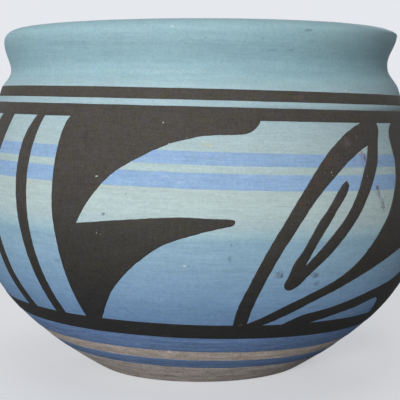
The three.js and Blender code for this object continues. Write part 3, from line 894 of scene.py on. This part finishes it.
# The black's shades grow lighter with height: painted sheen and light on its upper, upward-facing parts,
# and painted shade lower down
black = finish("black_slip", [(22, (41, 40, 39)), (34, (44, 43, 42)), (48, (52, 50, 46)),
                              (62, (63, 60, 56)), (78, (72, 68, 64)), (104, (77, 73, 68))],
               streaks=[(0.6, 6, 0.9), (7, 0.6, 0.7), (5, 40, 0.2)], clouds=(5, 0.5),
               grain=(0.7, 1.0), tint=(2.4, 0.2, 3.4), roughness=0.74, relief=(0.05, 0.03),
               seed=7.0, blur=6.0)
black_flecks = [((106, 99, 92), 2.1, 0.26, 0.45, 0.6, 41.0), ((168, 170, 168), 5.5, 0.2, 0.3, 0.8, 47.0)]
black_chips = [
    (-8.5, 92.4, 0.8, 0.8), (-23.5, 74.8, 1.3, 0.6), (-22.9, 56.9, 0.7, 0.4), (-22, 56.6, 0.5, 0.5),
    (-7, 86, 0.7, 0.5), (-2.9, 87.9, 0.6, 0.4), (16.3, 53.8, 0.7, 0.5), (12.8, 45, 0.6, 0.6),
    (31, 77.8, 0.8, 0.8), (31.2, 76.8, 0.6, 0.6), (30.4, 79, 0.5, 0.5), (42, 76.4, 0.6, 0.7),
    (-22.3, 93.4, 0.5, 0.3), (-24.8, 56.4, 0.5, 0.3), (-23.8, 56.8, 0.4, 0.3), (-21.4, 56.7, 0.4, 0.3),
    (-22.2, 55.5, 0.4, 0.3), (11.2, 34.6, 0.4, 0.5), (17.7, 55.4, 0.4, 0.4), (-30.6, 64.2, 0.4, 0.4),
    (29.1, 77.7, 0.6, 0.6),
]
black_marks = [(*chip, (205, 206, 204), 0.9, 0.7) for chip in black_chips]
black_marks += [
    (10.3, 27.6, 1.8, 2, (104, 86, 58), 0.35, 2), (10.1, 27.9, 0.6, 0.6, (150, 148, 112), 0.6),
    (24.5, 101.6, 5, 1.4, (120, 84, 58), 0.3, 3), (36.8, 87.4, 4, 3.2, (134, 122, 126), 0.3, 4),
    (40.5, 89.2, 2.2, 1.6, (120, 112, 120), 0.3, 3), (31, 81.4, 6, 4.2, (98, 70, 60), 0.32, 5),
    (27.2, 75, 4.4, 5, (92, 70, 58), 0.28, 5), (22.8, 67.5, 2.6, 3.4, (92, 70, 56), 0.3, 4),
    (63.4, 93.4, 1.2, 0.7, (150, 100, 62), 0.5, 2),
]
weathered_and_sheened(black, black_flecks, black_marks)
for name, low, high, lean, seed in (
        ("neck_line", neck_line_foot, neck_line_top, line_lean, 5.0),
        ("shoulder_line", shoulder_line_foot, shoulder_line_top, line_lean, 6.0),
        ("skirt_band", skirt_band_foot, skirt_band_top, stripe_lean, 7.0)):
    ring = laid(name, band_drawing(name, low, high, black_rise, black_base), black, lean,
                waver=0.25, length=10, seed=seed)
    hand_in(ring, "black_slip", name)


# The black figures
# Painted freehand in black slip between the shoulder line and the skirt band, in three like sets
# round the jar: an arc, a hook, a feather and a sweep. Each row of points is one smooth edge.
figure_rise = 0.23
figure_sink = 0.05      # how far its back lies under the rings' back
figure_tuck = 1.3       # how far a stroke runs under the rings that it starts and ends at
ring_reach = 1.2        # an edge that ends as near as this to the skirt band runs on under it
arc_per_degree = belly_radius * math.pi / 180       # on the unrolled jar, where figures are drawn
edge_step = 0.5         # spacing of the points along an edge
brush_waver = 0.12      # how far a stroke's edge strays
waver_length = 2.4      # length of one stray
grid_step = 1.8         # spacing of the points inside a stroke
row_share = 0.87        # and of their rows, as a share of it
rim_rows = [(0.35, 0.3), (1.0, 0.9)]    # the rim's rows of points: how far in, and the least kept
grid_inset = 2.4        # and the same least for the grid, all as shares of edge_round
figure_edges = {
    "arc": [
        [(-44.3, 93.8), (-46.5, 90.2), (-48, 86.5), (-48.7, 82.3), (-48.9, 77.2), (-48.6, 72.6),
         (-46.7, 61.5), (-44.4, 50.4), (-42.4, 39.3), (-41, 27.2)],
        [(-37.4, 27.2), (-38.9, 37.8), (-40.8, 49.1), (-42.6, 60), (-43.9, 69.5), (-44.3, 78.5),
         (-43.8, 84.5), (-42.9, 89.2), (-41.3, 93.8)],
    ],
    "hook": [
        [(-32.7, 93.8), (-34.1, 91.2), (-34.9, 87.7), (-35.5, 82), (-35.6, 73.8), (-34.8, 62),
         (-33.3, 50.2), (-31.9, 37.9), (-30.8, 27.2)],
        [(-26, 27.2), (-23.1, 33.1), (-20.8, 37.8), (-18.2, 42.1), (-15.2, 46.4), (-11.9, 50.3),
         (-8.6, 53.6), (-4.5, 56.2), (0, 58.3), (3.2, 59.6), (6.6, 60.7)],
        [(6.6, 60.7), (7.4, 61.7), (7.5, 62.7)],
        [(7.5, 62.7), (6.2, 63), (4.4, 63.1), (0.5, 63.2), (-3.1, 63.3), (-10, 62.7),
         (-16.8, 61.7), (-22.7, 60.6), (-28, 59.7)],
        [(-28, 59.7), (-25.3, 66.7), (-22.1, 72.5), (-18.5, 77.2), (-14.5, 80.5), (-10.5, 83.5),
         (-7.1, 85.7), (-3.3, 87.3), (0.5, 88.4), (5, 89), (8.8, 89.2), (10.9, 89.6), (12.8, 91.1),
         (13.8, 92.6), (14.2, 93.8)],
    ],
    "feather": [
        [(42.7, 93.8), (39.6, 92.2), (36.5, 90), (33.7, 87.3), (31, 84.4), (27.1, 78.7),
         (23.4, 72.3), (19.5, 64.4), (16.1, 56.7), (13.3, 49.1), (11, 41.5), (9, 33.7), (8.4, 27.2)],
        [(12, 27.2), (12.6, 33.1), (14.7, 42.5), (17.3, 50.5), (21.4, 59.9), (26.6, 69.4),
         (31, 75.1), (35.7, 80.3), (38.5, 82.7), (41.6, 85), (44, 86.4)],
        [(44, 86.4), (42.9, 82.5), (40.6, 76.9), (37.1, 68.8), (32.7, 61.2), (28.3, 54.5), (24.1, 48.3)],
        [(24.1, 48.3), (26.2, 54.1), (29.5, 61.3), (33.2, 68), (35, 71.1), (35.9, 73.6)],
        [(35.9, 73.6), (35.3, 75), (33.7, 73.8), (30.3, 68), (26.4, 61.3), (22.8, 52.6),
         (21, 48.6), (19.9, 44), (19.4, 41.3), (20.2, 39.9), (21.6, 40), (24.7, 43.9), (28.8, 49.5),
         (33.5, 56.3), (37.7, 62.9), (41, 68.8), (44.2, 75), (47, 81.6), (48.8, 88.6),
         (49.9, 91.9), (49.6, 93.8)],
    ],
    "sweep": [
        [(58.7, 93.8), (55.8, 92.7), (54.6, 90.4), (54.4, 87), (54.8, 81.5), (54, 76.5),
         (51.3, 68.8), (47, 60.5), (42.5, 53.5), (38.6, 48), (33.6, 43), (27, 38.4),
         (19.8, 33.4), (15.4, 30.1), (11.2, 27.6)],
        [(16.4, 27.2), (20.8, 29.8), (27, 34.3), (33.6, 38.6), (41.1, 43.3), (50.3, 48.5), (61, 53.7)],
        [(64, 43.2), (55.3, 39.2), (47.8, 37), (41.6, 34.8), (36.1, 33), (30.8, 31.5),
         (27, 30.5), (24.2, 28.9), (21.8, 27.2)],
        [(30.9, 27.2), (35.1, 28.4), (40.6, 30.1), (47.1, 31.9), (54.5, 33), (57.3, 27.2)],
        [(71.2, 27.2), (68.3, 39.2), (65.7, 50.1), (62.6, 60), (60.8, 68.2), (60.4, 75), (60.9, 81.5),
         (62.4, 87.7), (64.8, 93.8)],
    ],
}
plain_foot = [(63.8, 44.3), (65.6, 35.2), (67, 27.2)]
figure_edges["plain_sweep"] = figure_edges["sweep"][:2] + [plain_foot] + figure_edges["sweep"][4:]


def smooth_edge(points):
    """A natural cubic curve through the points, in even steps"""
    points = np.array(points, float)
    if len(points) < 3:
        rows = max(1, round(np.linalg.norm(points[1] - points[0]) / edge_step))
        return points[0] + (points[1] - points[0]) * np.linspace(0, 1, rows + 1)[:, None]
    place = np.concatenate([[0], np.cumsum(np.linalg.norm(np.diff(points, axis=0), axis=1))])
    gap = np.diff(place)
    count = len(points)
    system = np.eye(count)
    pull = np.zeros((count, 2))
    for i in range(1, count - 1):
        system[i, i - 1:i + 2] = gap[i - 1], 2 * (gap[i - 1] + gap[i]), gap[i]
        pull[i] = 6 * ((points[i + 1] - points[i]) / gap[i] - (points[i] - points[i - 1]) / gap[i - 1])
    bend = np.linalg.solve(system, pull)
    along = np.linspace(0, place[-1], max(2, round(place[-1] / edge_step)) + 1)
    span = np.clip(np.searchsorted(place, along, side="right") - 1, 0, count - 2)
    width = gap[span][:, None]
    after = (along - place[span])[:, None]
    before = width - after
    start, end = points[span], points[span + 1]
    return ((bend[span] * before**3 + bend[span + 1] * after**3) / (6 * width)
            + (start / width - bend[span] * width / 6) * before
            + (end / width - bend[span + 1] * width / 6) * after)


def tucked(edge):
    """Runs an edge on under the ring that it ends at"""
    edge = [np.array(point, float) for point in edge]
    for end, before in ((0, 1), (-1, -2)):
        height = edge[end][1]
        if height >= shoulder_line_foot or height <= skirt_band_top + ring_reach:
            goal = (shoulder_line_foot + figure_tuck if height > belly_height
                    else skirt_band_top - figure_tuck)
            way = edge[end] - edge[before]
            edge[end] = edge[end] + way * (goal - height) / way[1]
    return edge


def inward_from(outline):
    """The way in from each point of an outline"""
    way = np.roll(outline, -1, axis=0) - np.roll(outline, 1, axis=0)
    return np.column_stack([-way[:, 1], way[:, 0]]) / np.linalg.norm(way, axis=1)[:, None]


def outline_of(edges):
    """The closed outline in millimetres on the unrolled jar, anticlockwise, with the waver of a
    hand-held brush everywhere but at its corners"""
    curves = [smooth_edge([(degrees * arc_per_degree, height) for degrees, height in tucked(edge)])
              for edge in edges]
    rows = []
    for curve, following in zip(curves, curves[1:] + curves[:1]):
        rows.append(curve[:-1])
        if math.dist(curve[-1], following[0]) > weld:
            rows.append(smooth_edge([curve[-1], following[0]])[:-1])
    outline = np.vstack(rows)
    waver = [brush_waver * noise_at((x / waver_length, y / waver_length, 0)) for x, y in outline]
    ahead = np.roll(outline, -1, axis=0) - outline
    ahead = ahead / np.linalg.norm(ahead, axis=1)[:, None]
    corner = 0.9
    is_smooth = (ahead * np.roll(ahead, 1, axis=0)).sum(1) > corner
    return outline + inward_from(outline) * (np.array(waver) * is_smooth)[:, None]


def distance_to(outline, points):
    """How far points lie from an outline, and whether they lie inside it"""
    start = outline
    end = np.roll(outline, -1, axis=0)
    way = end - start
    length = (way**2).sum(1)
    nearest = np.full(len(points), np.inf)
    crossings = np.zeros(len(points), int)
    for (sx, sy), (_, ey), (wx, wy), size in zip(start, end, way, length):
        along = np.clip(((points[:, 0] - sx) * wx + (points[:, 1] - sy) * wy) / size, 0, 1)
        away = (points[:, 0] - sx - along * wx)**2 + (points[:, 1] - sy - along * wy)**2
        nearest = np.minimum(nearest, away)
        spans = (sy > points[:, 1]) != (ey > points[:, 1])
        if spans.any():
            reach = sx + (points[:, 1] - sy) / (ey - sy) * wx
            crossings += spans & (points[:, 0] < reach)
    return np.sqrt(nearest), crossings % 2 == 1


def figure_drawing(name, edges):
    """A figure as a thin closed flat body with a rounded rim"""
    outline = outline_of(edges)
    inward = inward_from(outline)
    low, high = outline.min(0), outline.max(0)
    grid = np.array([(x + (row % 2) * grid_step / 2, y)
                     for row, y in enumerate(np.arange(low[1], high[1], grid_step * row_share))
                     for x in np.arange(low[0], high[0], grid_step)])
    rows = [(outline + inward * edge_round * inset, least) for inset, least in rim_rows]
    kept = [outline]
    for points, least in (*rows, (grid, grid_inset)):
        away, inside = distance_to(outline, points)
        kept.append(points[inside & (away > least * edge_round)])
    inside_only = 1
    nearest = 1e-5
    flat, _, triangles, *_ = delaunay_2d_cdt([tuple(point) for point in np.vstack(kept)], [],
                                             [list(range(len(outline)))], inside_only, nearest)
    flat = np.array([tuple(point) for point in flat])
    away, _ = distance_to(outline, flat)
    share = np.clip(away / edge_round, 0, 1)
    lift = black_base + (figure_rise - black_base) * np.sqrt(1 - (1 - share)**2)
    sides = dict.fromkeys((triangle[i], triangle[(i + 1) % 3])
                          for triangle in triangles for i in range(3))
    rim = [(a, b) for a, b in sides if (b, a) not in sides]
    count = len(flat)
    around = flat[:, 0] / arc_per_degree * math.pi / 180
    back = black_base - figure_sink
    points = [(a, h * mm, z * mm) for a, h, z in zip(around, flat[:, 1], lift)]
    points += [(a, h * mm, back * mm) for a, h in zip(around, flat[:, 1])]
    faces = [tuple(triangle) for triangle in triangles]
    faces += [tuple(count + corner for corner in reversed(triangle)) for triangle in triangles]
    faces += [(b, a, count + a, count + b) for a, b in rim]
    return drawn_mesh(name, points, (), faces)


set_wavers = [0.15, 0.6, 0.6]       # the first set is drawn as it is seen, and the others stray from it
sets = len(set_wavers)
drawings = {name: figure_drawing(name, edges) for name, edges in figure_edges.items()}
for number, waver in enumerate(set_wavers):
    last_set = number == sets - 1
    for figure in ("arc", "hook", "feather", "sweep"):
        drawing = drawings["plain_sweep" if last_set and figure == "sweep" else figure]
        name = f"{figure}_{number + 1}"
        stroke = laid(name, drawing, black, ring_lean, waver=waver, length=8,
                      turn=number * 360 / sets, seed=number)
        hand_in(stroke, "black_slip", name)
bpy.data.objects.remove(ribbon)


# The floor, the light and the camera
# A plain pale floor, a broad soft lamp from the front left near level with the jar, fainter ones
# above, behind and under it, and a long lens at the place from which the jar was photographed.
floor_radius = 1.6      # the floor, its fade and the lamps are in metres
floor_corners = 96
floor_hole = (foot_radius - foot_round - 0.5) * mm      # the jar's foot covers it
floor_grey = (0.5, 0.5, 0.5, 1)
floor_glow = 0.494      # what lifts the grey to the pale floor that the lens sees
floor_tint = (0.94, 0.96, 1, 1)
fade_from = 0.6         # the floor fades away between these
fade_to = 1.5
jar_middle = (0, 0, 0.06)
sky_tint = (0.93, 0.95, 1, 1)
sky_light = 0.08        # how bright the sky is to the jar
sky_seen = 0.85         # and to the lens
lens_length = 100.05    # the lens and its place are in millimetres
sensor_width = 36
lens_distance = 427.71
lens_height = 97.79
lens_tilt = 4.808       # degrees down from level


def pale_floor():
    """Grey to the light, so that little is thrown up under the jar, and paler to the lens. It
    can't be seen from below, and fades away far out"""
    material = bpy.data.materials.new("pale_floor")
    material.use_nodes = True
    tree = material.node_tree
    shader = tree.nodes["Principled BSDF"]
    shader.inputs["Base Color"].default_value = floor_grey
    shader.inputs["Roughness"].default_value = 1
    shader.inputs["Specular IOR Level"].default_value = 0
    shader.inputs["Emission Color"].default_value = floor_tint
    seen = node(tree, "ShaderNodeLightPath").outputs["Is Camera Ray"]
    glow = maths(tree, "MULTIPLY", seen, floor_glow)
    tree.links.new(glow.outputs[0], shader.inputs["Emission Strength"])
    from_below = node(tree, "ShaderNodeNewGeometry").outputs["Backfacing"]
    away = vectors(tree, "LENGTH", node(tree, "ShaderNodeTexCoord").outputs["Object"])
    fade = node(tree, "ShaderNodeMapRange",
                {"Value": away.outputs["Value"], "From Min": fade_from, "From Max": fade_to},
                interpolation_type="SMOOTHSTEP")
    unseen = maths(tree, "MAXIMUM", from_below, fade)
    clear = node(tree, "ShaderNodeBsdfTransparent")
    either = node(tree, "ShaderNodeMixShader", {0: unseen, 1: shader, 2: clear})
    tree.links.new(either.outputs[0], tree.nodes["Material Output"].inputs["Surface"])
    return material


def stage_floor():
    """A disc that is cut out under the foot, so that light from below reaches the base alone"""
    turns = [2 * math.pi * corner / floor_corners for corner in range(floor_corners)]
    points = [(radius * math.cos(turn), radius * math.sin(turn), 0)
              for radius in (floor_hole, floor_radius) for turn in turns]
    faces = []
    for here in range(floor_corners):
        there = (here + 1) % floor_corners
        faces.append((here, floor_corners + here, floor_corners + there, there))
    mesh = drawn_mesh("floor", points, (), faces)
    mesh.materials.append(pale_floor())
    floor = bpy.data.objects.new("floor", mesh)
    bpy.context.scene.collection.objects.link(floor)


def lamp(name, place, aim, size, power):
    """A square lamp that shines from a place towards an aim, in metres and watts"""
    data = bpy.data.lights.new(name, "AREA")
    data.size = size
    data.energy = power
    made = bpy.data.objects.new(name, data)
    made.location = place
    way = np.array(aim, float) - np.array(place, float)
    made.rotation_euler = (math.acos(-way[2] / np.linalg.norm(way)), 0,
                           math.atan2(way[1], way[0]) - math.pi / 2)
    made.visible_camera = False
    bpy.context.scene.collection.objects.link(made)


stage_floor()
lamp("key_lamp", place=(-0.76, -2.32, 0.5), aim=jar_middle, size=0.7, power=42.5)
lamp("top_lamp", place=(-0.1, -0.2, 1.3), aim=jar_middle, size=0.9, power=3.3)
lamp("back_lamp", place=(0.16, 2.54, 0.58), aim=jar_middle, size=1.2, power=26)
lamp("base_lamp", place=(-0.15, -0.2, -0.6), aim=(0, 0, 0), size=0.4, power=1.8)
world = bpy.data.worlds.new("studio")
bpy.context.scene.world = world
world.use_nodes = True
sky = world.node_tree
background = sky.nodes["Background"]
background.inputs["Color"].default_value = sky_tint
path = node(sky, "ShaderNodeLightPath")
seen = maths(sky, "MAXIMUM", path.outputs["Is Camera Ray"], path.outputs["Is Glossy Ray"])
strength = node(sky, "ShaderNodeMapRange", {"Value": seen, "To Min": sky_light, "To Max": sky_seen})
sky.links.new(strength.outputs["Result"], background.inputs["Strength"])

camera_data = bpy.data.cameras.new("camera")
camera_data.lens = lens_length
camera_data.sensor_width = sensor_width
camera = bpy.data.objects.new("camera", camera_data)
camera.location = (0, -lens_distance * mm, lens_height * mm)
camera.rotation_euler = (math.radians(90 - lens_tilt), 0, 0)
bpy.context.scene.collection.objects.link(camera)
bpy.context.scene.camera = camera
bpy.context.scene.view_settings.view_transform = "Standard"
